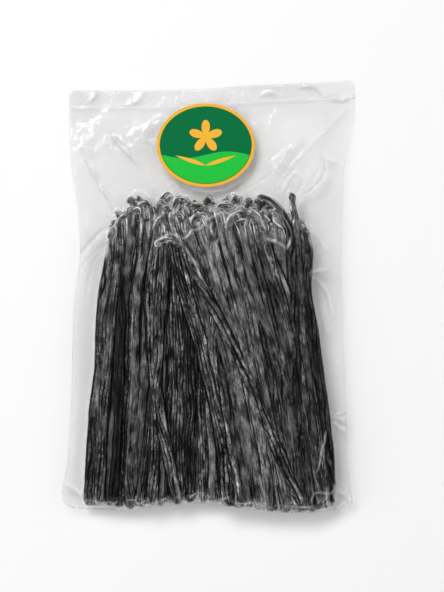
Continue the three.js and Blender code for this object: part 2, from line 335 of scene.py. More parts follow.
def print_material(name, colour):
    """One flat ink of the sticker, with a slight tooth and unevenness."""
    made, tree, shader = material(name)
    speck = noise(tree, object_coordinates(tree), 900, 3, 0.6)
    lighter = tuple(min(c * 1.12, 1) for c in colour)
    plug(tree, shader, {"Base Color": ramp(tree, speck, [(0.3, colour), (0.7, lighter)]), "Roughness": 0.45,
                        "Specular IOR Level": 0.05, "Normal": bump(tree, speck, 0.00005, 0.5)})
    return made


def floor_material():
    made, tree, shader = material("studio_floor")
    plug(tree, shader, {"Base Color": (0.93, 0.93, 0.93, 1), "Roughness": 0.9, "Specular IOR Level": 0.1})
    return made


# ---- meshes


def linked(name, data):
    """A new object in the scene."""
    made = bpy.data.objects.new(name, data)
    bpy.context.collection.objects.link(made)
    return made


def piece(name, points, faces, made_of, replaced, shade_smooth=True):
    """A mesh object of the bag, from millimetres, that stands for a node of the frame."""
    mesh = bpy.data.meshes.new(name)
    mesh.from_pydata((np.asarray(points) + SHIFT) * MM, [], faces)
    mesh.materials.append(made_of)
    mesh.shade_smooth() if shade_smooth else mesh.shade_flat()
    made = linked(name, mesh)
    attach(made, "root")
    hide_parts(replaced)
    return made


def set_attribute(made, name, values):
    """A value, or a vector, at each vertex, for the material to read."""
    kind, key = ("FLOAT_VECTOR", "vector") if np.ndim(values) > 1 else ("FLOAT", "value")
    layer = made.data.attributes.new(name, kind, "POINT")
    layer.data.foreach_set(key, np.ravel(values).astype(np.float32))


# ---- the pods

HOOK_STATIONS = 26  # the rings in a pod's curled stalk end
NECK_START, NECK_END = 30, 9  # where a pod narrows to its stalk, from the tip
KNOB_PLACE, KNOB_REACH = 2.4, 1.5  # the stalk's thick end, from the tip
SECTION_POWER = 2.6  # over 2, a pod's section is fuller than an ellipse
LOWEST_Z = 0.1  # a pod's lowest height
STRAND_RADIUS = 3  # the radius at which the skin's texture goes round a pod
TEXTURE_REACH = 500  # how far off in the texture a pod's patch lies at most
PLAIN_BELOW = 0.65  # the strength of grooves under which a skin is plain
SWAY_PLACES = np.linspace(PODS_TAIL_Y - 4, PODS_HEAD_Y, 7)
body_width = through([(0, 0.66), (0.008, 0.84), (0.05, 0.97), (0.2, 1), (0.62, 0.99), (0.8, 0.92),
                      (1, 0.9)])
head_line = through([(-72, 45), (-66, 51), (-55, 57), (-38, 61), (0, 60), (26, 61), (46, 54), (58, 52),
                     (66, 40)])


def pod_line(x_at, z_at, tail_y, head_y, curl, stations):
    """A pod's centre line, from its blunt tail to its curled stalk end."""
    turn, hook, sharpness, *_ = curl
    y = np.linspace(tail_y, head_y, stations - HOOK_STATIONS)
    x = x_at(y)
    heading = atan2(y[-1] - y[-4], x[-1] - x[-4])
    step = np.linspace(0, 1, HOOK_STATIONS)
    angle = heading + turn * step**sharpness + 0.35 * np.sin(7 * step + 9 * sharpness) * step
    x = np.append(x, x[-1] + np.cumsum(np.cos(angle)) * hook / HOOK_STATIONS)
    y = np.append(y, y[-1] + np.cumsum(np.sin(angle)) * hook / HOOK_STATIONS)
    return np.column_stack([x, y, z_at(x, y)])


def unit(vectors):
    return vectors / np.linalg.norm(vectors, axis=1, keepdims=True)


def rolled_axes(rng, line):
    """The run along a centre line and, at each station, the pod's side and up, slightly rolled."""
    run = np.concatenate([[0], np.cumsum(np.linalg.norm(np.diff(line, axis=0), axis=1))])
    way = unit(np.gradient(line, axis=0))
    side = unit(np.cross(way, UP))
    up = np.cross(side, way)
    roll = 0.3 * drift(rng, len(line), 6)
    return run, side * np.cos(roll) + up * np.sin(roll), up * np.cos(roll) - side * np.sin(roll)


def girth(rng, run, width, curl):
    """A pod's half width and half thickness at each station, and how far it has narrowed to a stalk."""
    *_, neck, taper = curl
    along, remaining = run / run[-1], run[-1] - run
    narrowing = smooth((NECK_START - remaining) / (NECK_START - NECK_END))
    tip = np.sqrt(np.clip(remaining / taper, 0.12, 1))
    half_width = width / 2 * body_width(along) * mix(1, neck, narrowing) * tip
    half_width *= 1 + 0.15 * drift(rng, len(run), 13)[:, 0]
    half_width *= 1 + 0.4 * narrowing * np.exp(-(((remaining - KNOB_PLACE) / KNOB_REACH) ** 2))
    half_thickness = POD_THICKNESS / 2 * np.sqrt(body_width(along)) * mix(1, 0.5, narrowing) * tip
    return half_width, half_thickness, narrowing


def ring_angles(stations, columns, looks_up):
    """The angles round each ring, closest together on the side that shows."""
    t = 2 * np.arange(columns) / columns - 1
    angle = pi * t - 0.5 * np.sin(pi * t) + (pi / 2 if looks_up else -pi / 2)
    return np.broadcast_to(angle, (stations, columns))


def wrinkles(rng, angle):
    """The skin's grooves, its fine wrinkles and its dents, and how strongly it is grooved."""
    count = rng.integers(7, 12)
    wander = 2.2 * drift(rng, len(angle), 7) + 1.2 * patchwork(rng, angle, 12, 5)
    wander += 0.55 * patchwork(rng, angle, 44, 6)
    strength = rng.uniform(0.05, 0.8) + 0.4 * patchwork(rng, angle, 13, 7)
    groove = (1 - np.abs(np.sin(count / 2 * angle + wander))) ** 1.15 * np.maximum(strength, 0)
    fine = (1 - np.abs(np.sin(count * angle + 2 * wander + 0.8 * patchwork(rng, angle, 8, 6)))) ** 1.2
    return groove, fine, patchwork(rng, angle, 34, 7), strength


def pod_skin(rng, run, angle, narrowing, wrinkling, tone):
    """What the material reads at each point of a pod: its place in the texture, the painted shade of its
    grooves and flanks, how light its skin is, the painted highlight where the film hugs its edges, and how
    plain it is."""
    groove, fine, dent, strength = wrinkling
    edge, remaining = np.abs(np.cos(angle)), run[-1] - run
    strand = np.stack([np.cos(angle) * STRAND_RADIUS, np.sin(angle) * STRAND_RADIUS,
                       run[:, None] + 0 * angle], axis=-1)
    strand += rng.uniform(-TEXTURE_REACH, TEXTURE_REACH, 3)
    # painted shade along the pod's flanks, where it meets its neighbours, and in its grooves
    flank_shade = smooth((edge - 0.7) / 0.28)
    groove_shade = 0.8 * groove * (1 - 0.6 * narrowing[:, None]) + 0.2 * fine - 0.2 * dent + 0.65 * flank_shade
    # the skin is painted lighter at the tail's tip and towards the stalk end: partly the cut ends' own grey,
    # partly painted light where the ends lie in shade
    ends = rng.uniform(0, 1.8) * np.exp(-run / 4) + rng.uniform(0, 0.5) * smooth((18 - remaining) / 12)
    ends += 0.25 * smooth((75 - remaining) / 50)
    shown = rng.triangular(0.25, 1.15, 1.7) if tone is None else tone
    # painted highlight of the film along the edges of the stalk ends and at the tips
    outline = smooth((edge - 0.5) / 0.25) * (1 - smooth((edge - 0.9) / 0.1))
    outline = np.maximum(outline, smooth((1.5 - np.minimum(remaining, run)) / 1.2)[:, None])
    wrapped_highlight = np.maximum(smooth((26 - remaining) / 12), 0.7 * smooth((5 - run) / 3))
    painted_film_highlight = wrapped_highlight[:, None] * outline * np.clip(0.6 + 0.9 * dent, 0, 1)
    return {"strand": strand, "groove_shade": np.clip(groove_shade, 0, 1), "tone": shown + ends[:, None] + 0 * groove_shade,
            "painted_film_highlight": painted_film_highlight, "plain": np.clip(1 - strength / PLAIN_BELOW, 0, 1)}


def pod_surface(rng, line, width, curl, columns, looks_up=True, tone=None):
    """Rings of points round the centre line, with wrinkles that wander along the pod, and its skin."""
    run, side, up = rolled_axes(rng, line)
    half_width, half_thickness, narrowing = girth(rng, run, width, curl)
    angle = ring_angles(len(line), columns, looks_up)
    flat = np.cos(angle)
    tall = np.sign(np.sin(angle)) * (1 - np.abs(flat) ** SECTION_POWER) ** (1 / SECTION_POWER)
    wrinkling = wrinkles(rng, angle)
    groove, fine, dent, _ = wrinkling
    relief = 0.15 - 0.85 * groove - 0.25 * fine + 0.15 * dent
    relief = relief * (np.minimum(half_width / 3, 1) * (1 - 0.5 * narrowing))[:, None]
    across = (half_width[:, None] * flat + relief * np.cos(angle))[..., None] * side[:, None]
    above = (half_thickness[:, None] * tall + relief * np.sin(angle))[..., None] * up[:, None]
    points = line[:, None] + across + above
    points[..., 2] = np.maximum(points[..., 2], LOWEST_Z)
    return points, pod_skin(rng, run, angle, narrowing, wrinkling, tone)


def pods_mesh(pods):
    """One mesh of many pods: points, faces, and the skin's values at each point."""
    points = np.stack([rings for rings, _ in pods])
    index = np.arange(points[..., 0].size).reshape(points.shape[:3])
    turned = np.roll(index, -1, axis=2)
    quads = np.stack([index[:, :-1], index[:, 1:], turned[:, 1:], turned[:, :-1]], axis=-1)
    ends = np.concatenate([index[:, 0], index[:, -1, ::-1]])
    skin = {name: np.stack([values[name] for _, values in pods]).reshape(index.size, -1).squeeze()
            for name in pods[0][1]}
    return points.reshape(-1, 3), quads.reshape(-1, 4).tolist() + ends.tolist(), skin


def random_curl(rng):
    """A stalk end, a hook, a bend or a straight stub: how far it turns, over what length, how late, its
    width beside the pod's, and over what length its tip rounds off."""
    turn = rng.choice([-1, 1]) * rng.uniform(0.2, 2.7)
    return turn, rng.uniform(9, 17), rng.uniform(0.6, 2.2), rng.uniform(0.45, 0.95), rng.uniform(1.5, 4.5)


def head_start(rng, x, curl, scatter):
    """Where a pod's stalk starts to curl, so that it ends near the heads' uneven line."""
    turn, hook, *_ = curl
    return head_line(x) - hook * mix(0.9, 0.4, min(abs(turn) / 2.6, 1)) - rng.uniform(0, scatter)


def swaying(rng, reach):
    """A random function along the bundle, smooth, from -reach to reach."""
    return through(list(zip(SWAY_PLACES, rng.uniform(-reach, reach, len(SWAY_PLACES)))))


def layered_pod(rng, layer, place, breadth, density):
    """A pod lying in one of the bundle's layers, at a place from -1 to 1 across it."""
    stations, columns = density
    inset = POD_WIDTH / 2
    in_front = layer == LAYERS - 1
    sway = swaying(rng, 1)
    lift = rng.uniform(-0.8, 0.7) if in_front else 0
    tilt = rng.uniform(-1.5, 1.5)
    heave = swaying(rng, 0.6) if in_front else np.zeros_like

    def x_at(y):
        straight = mix(bundle_left(y) + inset, bundle_right(y) - inset, (place + 1) / 2)
        return straight + 0.9 * sway(y)

    def z_at(x, y):
        half = POD_THICKNESS / 2 * (1 - 0.45 * smooth((y + 20) / 80))
        height = mix(pods_bottom(x, y) + half, pods_top(x, y) - half, layer / (LAYERS - 1))
        return height + lift + heave(y) + tilt * smooth((y - 38) / 16)

    curl = random_curl(rng)
    if abs(place) > 0.8:  # the outermost stalks curl outwards
        curl = (np.sign(place) * abs(curl[0]), *curl[1:])
    tail_y = bottom_edge(x_at(PODS_TAIL_Y)) + rng.uniform(2, 4.5)
    head_y = head_start(rng, x_at(50.0), curl, 12)
    line = pod_line(x_at, z_at, tail_y, head_y, curl, stations)
    return pod_surface(rng, line, breadth, curl, columns, looks_up=layer > 0)


def layer_pods(rng, layer, count, density, picked=slice(None)):
    """A layer's pods side by side, the wide ones with more room, or some of them."""
    breadths = POD_WIDTH * rng.uniform(0.75, 1.3, count)
    places = np.cumsum(breadths + rng.uniform(-1, 2.5, count)) - breadths / 2
    places = 2 * (places - places[0]) / (places[-1] - places[0]) - 1
    chosen = list(zip(places, breadths))[picked]
    return [layered_pod(rng, layer, place, breadth, density) for place, breadth in chosen]


FAN_PODS = 15
FAN_MIDDLE_Y = -45


def fanned_pod(rng, share, density):
    """A pod of the fan that lies slanting over the right half of the bundle, most so near its head."""
    stations, columns = density
    head_x, tail_x = mix(-28, 40, share), mix(14, 76, share) + rng.uniform(-2, 2)
    middle_x = mix(-3, 62, share)
    curl = random_curl(rng)
    head_y = head_start(rng, head_x, curl, 14)
    tail_y = bottom_edge(tail_x) + rng.uniform(2, 4)
    lift = mix(1.9, 1.0, share) + rng.uniform(-0.6, 0.6)
    sway, heave = swaying(rng, 1.1), swaying(rng, 0.5)
    slant = through([(tail_y, tail_x), (FAN_MIDDLE_Y, middle_x), (head_y, head_x)])
    line = pod_line(lambda y: slant(y) + sway(y), lambda x, y: pods_top(x, y) + lift + heave(y), tail_y,
                    head_y, curl, stations)
    return pod_surface(rng, line, POD_WIDTH * rng.uniform(0.75, 1.25), curl, columns)


# Pods that stand out: (y, x) of the centre line, where it starts to curl, its stalk end as random_curl
# gives one, the width, the height over the bundle's top and how light its skin is.
STANDOUT_PODS = [
    ([(-134, 59), (-81, 36.5), (-42, 20), (4, -3), (30, -16)], 30, (1.9, 22, 0.8, 0.6, 2), 8.0, 3.0, 1.2),
    ([(-134, 72), (-40, 62.5), (20, 57.5), (44, 56.5)], 46, (0.3, 21, 0.7, 0.62, 3), 7.2, 1.8, 0.6),
    ([(-134, 62), (-60, 57), (0, 54.5), (36, 53)], 36, (1.1, 38.6, 0.85, 0.45, 2), 7.0, 2.2, 0.35),
    ([(-134, 70), (-60, 63), (0, 57), (34, 53)], 34, (0.9, 22, 1.1, 0.8, 4), 8.4, 1.2, 1.0),
    ([(-134, 80), (-97, 77), (-25, 68.5), (-3, 64.5), (9, 63.5), (20, 64.5), (29, 65), (38, 63)], 38,
     (0.9, 13, 1.2, 0.9, 4), 6.6, 1.8, 0.3),
    ([(-134, -20), (-100, -27), (-60, -34), (0, -38), (40, -34)], 44, (-1.9, 14, 0.7, 0.7, 3), 8.4, 1.1, 1.2),
    ([(-134, -71), (-90, -69), (-30, -64), (30, -58)], 42, (-1.2, 15, 1.4, 0.6, 3), 7.8, 1.0, 0.9),
    ([(-134, -62), (-90, -59), (-30, -57), (30, -56)], 44, (1.2, 12, 1.4, 0.6, 3), 6.4, 0.2, 0.12),
    ([(-134, -36), (-40, -33), (30, -29), (46, -27.5)], 47, (-0.5, 14, 0.8, 0.85, 7), 7.6, 1.5, 1.1),
    ([(-134, -45), (-40, -33), (30, -26), (50, -24)], 53, (-2.0, 17, 0.8, 0.6, 4), 6.6, 0.9, 0.5),
    ([(-134, 52), (-60, 35), (0, 22), (40, 14)], 44, (-2.1, 21, 0.8, 0.95, 6), 8.0, 1.8, 0.8),
    ([(-134, 12), (-60, 4), (0, 2), (40, 4)], 45, (1.9, 16, 0.8, 0.9, 6), 8.0, 1.4, 1.5),
]


def standout_pod(rng, plan, curl_y, curl, width, lift, tone, density):
    """A pod that stands out, over the others."""
    stations, columns = density
    tail_y, _ = plan[0]
    line = pod_line(through(plan), lambda x, y: pods_top(x, y) + lift, tail_y, curl_y, curl, stations)
    return pod_surface(rng, line, width, curl, columns, tone=tone)


# Each piece's density: the rings along a pod and the points round each.
BASE, INNER, LEFT, RIGHT, OVER = (84, 26), (60, 14), (152, 42), (80, 24), (140, 42)
# painted shade: the skin of the pods inside the bundle is darkened for the shade in its gaps
INNER_PAINTED_SHADE = 0.25  # the pods inside the bundle are only glimpsed, in its dark gaps
ABOVE_ALL, BELOW_ALL = 60, -20  # heights clear of the bag, from which it is probed
FILM_GAP = 0.08  # between the film and a pod that it presses on
FILM_GIVE = 0.3  # the depth under the film in which a pod's skin yields to it
LEAST_ROOM = 0.01  # between the films


def lay_pods():
    """The bundle as its pods would lie without the film: each piece's points, faces and skin values.
    The front layer's right part, mostly under the fan, is drawn apart from its left and more coarsely."""
    rng = np.random.default_rng(7)
    front = LAYERS - 1
    bundles = {
        "pods_base": layer_pods(rng, 0, 23, BASE),
        "pods_inner": layer_pods(rng, 1, 24, INNER) + layer_pods(rng, 2, 24, INNER),
        "pods_left": layer_pods(rng, front, 25, LEFT, slice(0, 15)),
        "pods_right": layer_pods(rng, front, 25, RIGHT, slice(14, 25)),
        "pods_fan": [fanned_pod(rng, share, OVER) for share in np.linspace(0, 1, FAN_PODS)],
        "pods_over": [standout_pod(rng, *pod, OVER) for pod in STANDOUT_PODS],
    }
    return {name: pods_mesh(pods) for name, pods in bundles.items()}


def facing_film(film, points, start, way):
    """The film's height over or under each point, and the point's own where the film misses it."""
    hits = [film.ray_cast((x, y, start), way)[0] for x, y, _ in points.tolist()]
    return np.array([hit.z if hit else z for hit, z in zip(hits, points[:, 2])])


def pressed(points, film):
    """The points pressed in between the front and the back film, softly, so that no pod goes flat."""
    roof = facing_film(film, points, ABOVE_ALL, DOWN)
    ground = facing_film(film, points, BELOW_ALL, UP)
    room = np.maximum(roof - ground, LEAST_ROOM)
    gap = np.minimum(FILM_GAP, room / 4)
    give = np.minimum(FILM_GIVE, room / 2 - gap)
    z = points[:, 2]
    over = np.maximum(z - (roof - gap - give), 0)
    z = np.where(over > 0, roof - gap - give * np.exp(-over / give), z)
    under = np.maximum(ground + gap + give - z, 0)
    z = np.where(under > 0, ground + gap + give * np.exp(-under / give), z)
    return np.column_stack([points[:, :2], np.where(roof > ground, z, points[:, 2])])


def build_pods(bundles, film):
    """The bundle's pieces, inside the film."""
    skin = pod_material()
    for name, (points, faces, values) in bundles.items():
        made = piece(name, pressed(points, film), faces, skin, "pouch")
        if name == "pods_inner":
            # painted shade on the pods inside the bundle
            values["tone"] *= INNER_PAINTED_SHADE
        for key, value in values.items():
            set_attribute(made, key, value)


# ---- the film

# Creases in the film: x and y of an arc's start, of a point it bends towards and of its end, how
# strongly it shows and how wide it is. They lie in the flap, in the margins and over the pods.
CREASES = [
    (-80, 90, -74, 79, -63, 59, 0.9, 0.8),
    (-78, 89, -70, 76, -61, 59, 0.5, 0.6),
    (-86, 105, -83, 108, -77, 107, 0.35, 0.8),
    (-85, 100, -79, 94, -72, 97, 0.35, 0.8),
    (-62, 105, -59, 99, -47, 88, 1.0, 0.9),
    (-62, 105, -54, 99, -47, 88, 0.7, 0.7),
    (-43, 103, -40, 112, -29, 118, 0.35, 0.8),
    (-43, 101, -35, 99, -27, 98, 0.5, 0.9),
    (-53, 63, -44, 69, -34, 59, 0.9, 0.8),
    (-64, 60, -60, 55, -57, 51, 0.9, 0.9),
    (-28, 70, -23, 74, -19, 67, 0.5, 0.9),
    (-18, 74, 2, 65, 27, 78, 0.4, 1.1),
    (34, 88, 47, 82, 20, 66, 0.6, 0.9),
    (35, 85, 46, 91, 59, 101, 0.7, 1.5),
    (46, 86, 50, 95, 55, 97, 0.9, 1.0),
    (40, 66, 59, 91, 89, 121, 0.5, 1.0),
    (49, 70, 54, 80, 61, 78, 0.8, 0.9),
    (61, 78, 61, 70, 55, 63, 0.6, 0.9),
    (76, 89, 76, 75, 61, 64, 0.9, 1.0),
    (74, 91, 78, 89, 82, 87, 0.8, 1.0),
    (74, 83, 67, 72, 59, 65, 0.4, 1.2),
    (-80, 126, -76, 129, -74, 133, 0.7, 0.9),
    (-57, 125, -49, 126, -44, 131, 0.7, 0.9),
    (34, 131, 40, 134, 44, 131, 0.6, 1.2),
    (59, 137, 68, 138, 74, 132, 0.8, 1.0),
    (80, 131, 84, 127, 90, 129, 0.7, 0.9),
    (-67, 42, -73, 37, -84, 24, 1.0, 1.3),
    (-68, 32, -77, 24, -87, 9, 0.6, 1.0),
    (-69, 29, -77, 14, -78, -2, 0.4, 0.9),
    (65, 46, 72, 37, 80, 27, 0.4, 1.0),
    (66, 15, 72, 17, 78, 17, 0.8, 1.0),
    (67, 13, 78, 3, 81, -15, 0.7, 1.1),
    (74, -6, 76, -15, 77, -26, 0.5, 1.5),
    (80, -79, 85, -80, 91, -84, 1.5, 0.9),
    (80, -82, 85, -85, 89, -89, 1.2, 0.9),
    (76, -88, 73, -101, 70, -114, 0.9, 0.45),
    (80, -80, 85, -76, 91, -77, 1.2, 0.7),
    (83, -127, 89, -129, 95, -135, 0.8, 1.3),
    (82, -124, 82, -131, 84, -137, 0.9, 0.9),
    (68, -138, 65.5, -133, 67, -129, 0.9, 0.6),
    (67, -129, 72, -126.5, 79, -128, 1.0, 0.6),
    (79, -128, 81, -126, 81.5, -122, 0.8, 0.6),
    (-94, -123, -88, -125, -81, -131, 0.8, 1.2),
    (-74, -57, -73, -65, -72, -74, 0.5, 0.7),
    (-33, 37, -30, 36.6, -26, 40, 1.0, 0.8),
    (-26, 40, -21, 39, -17, 32, 1.0, 0.8),
    (-17, 32, -11.5, 26, -7, 18, 0.8, 0.7),
    (-7, 18, -4.5, 11, 0, 5, 0.7, 0.7),
    (-18, 37, -13.7, 37.6, -11, 42, 1.0, 0.8),
    (-11, 42, -6, 42.5, -1.4, 48, 1.0, 0.8),
    (-1.4, 48, 3, 51, 8.8, 54, 1.0, 0.8),
    (8.8, 54, 12, 53.4, 14.4, 51, 1.0, 0.75),
    (14.4, 51, 18, 53, 21, 49, 0.9, 0.75),
    (36, 37, 44, 35, 50, 30, 1.0, 0.8),
    (50, 30, 51.5, 32, 53, 36.5, 1.0, 0.8),
]
ARC_STEPS = 8  # the straight steps that a crease is drawn in
CREASE_HEIGHT = 0.5
SEAL_DROP = 10.5  # the seal line, below the bag's top edge
SEAL_BAND = 11  # the band over it
CORNER_RADIUS = 4
FILM_WIDTH, FILM_LENGTH = 190, 276
FILM_COLUMNS, FILM_ROWS = 250, 310  # of the front film's grid
CELL_RING = [(0, 0), (1, 0), (2, 0), (2, 1), (2, 2), (1, 2), (0, 2), (0, 1)]  # round a cell of the back
RASTER_X, RASTER_Y = 99, 145  # how far the plan raster reaches on each side of the middle
RASTER_CELL = 0.6
NOISE_X, NOISE_Y = 105, 150  # how far the random numbers over the plan reach on each side
VACUUM = 0.12  # how far it sinks the free film below its neighbours' mean in each round
WELD_HALF = 0.15  # half the least gap between the films
OVER_PODS, UNDER_PODS = 0.2, 0.1  # the films' gaps to the pods
DRAPE_ROUNDS = 260
FILM_BOTTOM = 0.02
SHOWN_PODS = ("pods_left", "pods_right", "pods_fan", "pods_over")


def crease_arc(plan):
    """Points along a crease."""
    start, middle, end = np.reshape(plan, (3, 2))
    bend = 1.6 * middle - 0.3 * (start + end)
    t = np.linspace(0, 1, ARC_STEPS + 1)[:, None]
    return mix(mix(start, bend, t), mix(bend, end, t), t)


def from_arc(arc, x, y):
    """How far each point is from an arc, how far out on one side of it, and where along it."""
    distance, beside, place = np.full(x.shape, 99.0), np.zeros(x.shape), np.zeros(x.shape)
    for step in range(ARC_STEPS):
        ax, ay = arc[step]
        dx, dy = arc[step + 1] - arc[step]
        along = np.clip(((x - ax) * dx + (y - ay) * dy) / (dx * dx + dy * dy), 0, 1)
        off = np.hypot(x - ax - along * dx, y - ay - along * dy)
        closer = off < distance
        distance = np.where(closer, off, distance)
        beside = np.where(closer, np.sign((x - ax) * dy - (y - ay) * dx) * off, beside)
        place = np.where(closer, (step + along) / ARC_STEPS, place)
    return distance, beside, place


def crease_marks(x, y):
    """How strongly a crease's painted highlight shows at each point, and how strongly the painted shade on
    the slope beside it does.
    """
    rng = np.random.default_rng(5)
    x = x + 0.7 * value_noise(rng, x, y, 5)
    y = y + 0.7 * value_noise(rng, x, y, 5)
    light, crease_shade = np.zeros_like(x), np.zeros_like(x)
    for *plan, strength, width in CREASES:
        arc = crease_arc(plan)
        (west, south), (east, north) = arc.min(axis=0) - 6 * width, arc.max(axis=0) + 6 * width
        near = (x > west) & (x < east) & (y > south) & (y < north)
        distance, beside, place = from_arc(arc, x[near], y[near])
        fade = strength * np.sin(pi * np.clip(place, 0.02, 0.98)) ** 0.35
        # painted highlight along the crease
        light[near] = np.maximum(light[near], fade * np.exp(-((distance / width) ** 2)))
        # painted shade on the slope beside it
        crease_shade[near] = np.maximum(crease_shade[near], fade * np.exp(-((beside / width - 1.7) ** 2)))
    return light * (0.65 + 0.5 * value_noise(rng, x, y, 3)), crease_shade


def drawn_in(rng, x, y):
    """Small folds that run out from the bundle, where the vacuum has gathered the film."""
    turn = np.arctan2(y + 20, x) / (2 * pi) + 0.5
    waves = drift(rng, 2400, 110)[:, 0] * (0.6 + 0.4 * drift(rng, 2400, 37)[:, 0])
    away = outside(x, y)
    return 0.6 * waves[(turn * (len(waves) - 1)).astype(int)] * np.exp(-away / 14) * smooth(away / 5)


def surface(points, faces):
    return BVHTree.FromPolygons(points.tolist(), faces)


def cast(trees, xs, ys, from_above):
    """The pods' height, seen from above or below, at each cell: NaN where there is none."""
    start, way = (ABOVE_ALL, DOWN) if from_above else (BELOW_ALL, UP)
    pick = max if from_above else min
    heights = np.full((len(ys), len(xs)), np.nan)
    for row, y in enumerate(ys):
        for column, x in enumerate(xs):
            hits = [tree.ray_cast((x, y, start), way)[0] for tree in trees]
            found = [hit.z for hit in hits if hit]
            if found:
                heights[row, column] = pick(found)
    return heights


def neighbours_mean(raster):
    """The mean of the four cells round each."""
    wide = np.pad(raster, 1, mode="edge")
    return (wide[:-2, 1:-1] + wide[2:, 1:-1] + wide[1:-1, :-2] + wide[1:-1, 2:]) / 4


def drape(obstacle):
    """A skin drawn tight over the obstacle, sunk by the vacuum wherever it is free."""
    height = obstacle.copy()
    for _ in range(DRAPE_ROUNDS):
        height = np.maximum(obstacle, neighbours_mean(height) - VACUUM)
    return height


def blurred(raster, rounds):
    for _ in range(rounds):
        raster = neighbours_mean(raster)
    return raster


def between(raster, column, row, ease=np.asarray):
    """The raster's value between the four cells round a place in it."""
    i, j = column.astype(int), row.astype(int)
    s, t = ease(column - i), ease(row - j)
    return mix(mix(raster[j, i], raster[j, i + 1], s), mix(raster[j + 1, i], raster[j + 1, i + 1], s), t)


def sample(raster, xs, ys, x, y):
    """The plan raster's value at points."""
    column = np.clip((x - xs[0]) / RASTER_CELL, 0, len(xs) - 1.001)
    row = np.clip((y - ys[0]) / RASTER_CELL, 0, len(ys) - 1.001)
    return between(raster, column, row)


def grown(mask, rounds):
    """A mask widened by a cell a round."""
    for _ in range(rounds):
        wide = np.pad(mask, 1)
        mask = wide[:-2, 1:-1] | wide[2:, 1:-1] | wide[1:-1, :-2] | wide[1:-1, 2:] | mask
    return mask


def value_noise(rng, x, y, cell):
    """Random numbers from -1 to 1 over the plan, smooth over a cell's width."""
    values = rng.uniform(-1, 1, (int(2 * NOISE_Y / cell) + 3, int(2 * NOISE_X / cell) + 3))
    return between(values, (x + NOISE_X) / cell, (y + NOISE_Y) / cell, smooth)


def film_looks(rng, x, y, creases, covered, slack, steepness, valley):
    """The film's marks on the plan raster: its milkiness, which carries painted highlights and painted light,
    its painted shade, where it is crumpled into fine lines, and where it lies on the pods."""
    light, crease_shade = creases
    away, under_edge = outside(x, y), top_edge(x) - y
    free, wall, band = smooth(away / 8), smooth((steepness - 2.5) / 3), smooth((SEAL_BAND - under_edge) / 2)
    left, right = smooth(-x / 40), smooth(x / 40)
    rim = grown(covered, 2) & ~covered
    ragged = 5 * value_noise(rng, x, y, 11)
    heads = smooth((y + ragged - 30) / 12)
    tails = smooth((bottom_edge(x) + 9 + 0.6 * ragged - y) / 5)
    ends = np.maximum(heads, tails)
    patchy = value_noise(rng, x, y, 5)
    # the flap's and the margins' haze, made lighter on the right by painted light where the bag's shadow
    # falls; the seal line and the band over it
    haze_and_painted_light = 0.001 + (0.036 + 0.012 * right) * free * (1 + 0.6 * value_noise(rng, x, y, 17))
    haze_and_painted_light += 0.5 * np.exp(-(((under_edge - SEAL_DROP) / 0.6) ** 2)) * (0.7 + 0.3 * value_noise(rng, x, y, 9))
    haze_and_painted_light += 0.015 * band
    # painted highlight, as milky haze: the rim where the film leaves the bundle, and where it bridges the
    # gaps between the pods' ends
    haze_and_painted_light += 0.5 * rim * (0.2 + 0.8 * ends) * np.clip(0.5 + 0.8 * patchy, 0, 1) * (1 - 0.85 * wall)
    bridged = smooth((slack - 0.5) / 1.5) + 0.8 * smooth((steepness - 0.9) / 1.2)
    bridged += smooth((valley - 0.25) / 0.9)
    haze_and_painted_light += 0.12 * ends * covered * np.clip(bridged * (0.45 + 0.9 * patchy), 0, 1.4) * (1 - 0.85 * wall)
    # the crumpled tails, milkier, partly the crumpled film's own whiteness and partly painted light where
    # their slope lies in shade; and a painted highlight along the fold that runs along them
    haze_and_painted_light += 0.06 * tails * np.clip(0.5 + value_noise(rng, x, y, 4), 0, 1)
    tail_fold = bottom_edge(x) + 5.5 + 3.5 * value_noise(rng, x, 0 * y, 7)
    haze_and_painted_light += 0.55 * covered * np.exp(-(((y - tail_fold) / 0.45) ** 2)) * np.clip(0.45 + patchy, 0, 1)
    # painted highlights: milky white along the creases and on the glaring patches
    haze_and_painted_light += (0.6 + 0.1 * covered) * light + 0.42 * glares(rng, x, y)
    # painted shade: a darker tint beside each crease and over the left side, with random soft patches
    shade = 0.45 * crease_shade + (0.08 * left + 0.12 * np.clip(value_noise(rng, x, y, 23), 0, 1)) * free
    crumple_and_painted_glints = np.maximum.reduce([0.25 * heads * smooth((5 - away) / 5), 0.9 * tails, 0.7 * ends * wall,
                                 0.15 * band, 0.05 * free])
    return {"haze_and_painted_light": np.clip(haze_and_painted_light, 0, 1), "shade": np.clip(shade, 0, 1), "crumple_and_painted_glints": crumple_and_painted_glints,
            "touch": covered * (1 - 0.5 * heads)}


# Painted highlights: patches where the flap glares, painted milky white and broken up by dents: middle, half
# lengths, turn and strength.
GLARES = [
    ((-82, 100), (9, 7), 0.0, 0.35),
    ((-69, 101), (9, 3), -0.3, 0.35),
    ((-55, 96), (12, 4), -0.9, 0.45),
    ((50, 89), (11, 4), 0.55, 0.5),
    ((-77, 130), (6, 1.6), 0.6, 0.3),
    ((-50, 128), (9, 1.4), 0.3, 0.35),
    ((42, 132), (8, 1.4), 0.2, 0.3),
    ((66, 134), (10, 2), 0.1, 0.3),
    ((86, 130), (7, 2), -0.5, 0.4),
]


def glares(rng, x, y):
    """How strongly the flap's painted glare, milky white, shows at each point."""
    dents = value_noise(rng, x, y, 3.5) + 0.6 * value_noise(rng, x, y, 1.8)
    haze_and_painted_light = np.zeros_like(x)
    for (mx, my), (length, breadth), turn, strength in GLARES:
        along = ((x - mx) * cos(turn) + (y - my) * sin(turn)) / length
        across = ((y - my) * cos(turn) - (x - mx) * sin(turn)) / breadth
        inside = np.clip(1.3 - np.hypot(along, across), 0, 1)
        haze_and_painted_light = np.maximum(haze_and_painted_light, strength * smooth(inside * 1.6) * smooth(0.35 + 1.1 * dents))
    return haze_and_painted_light


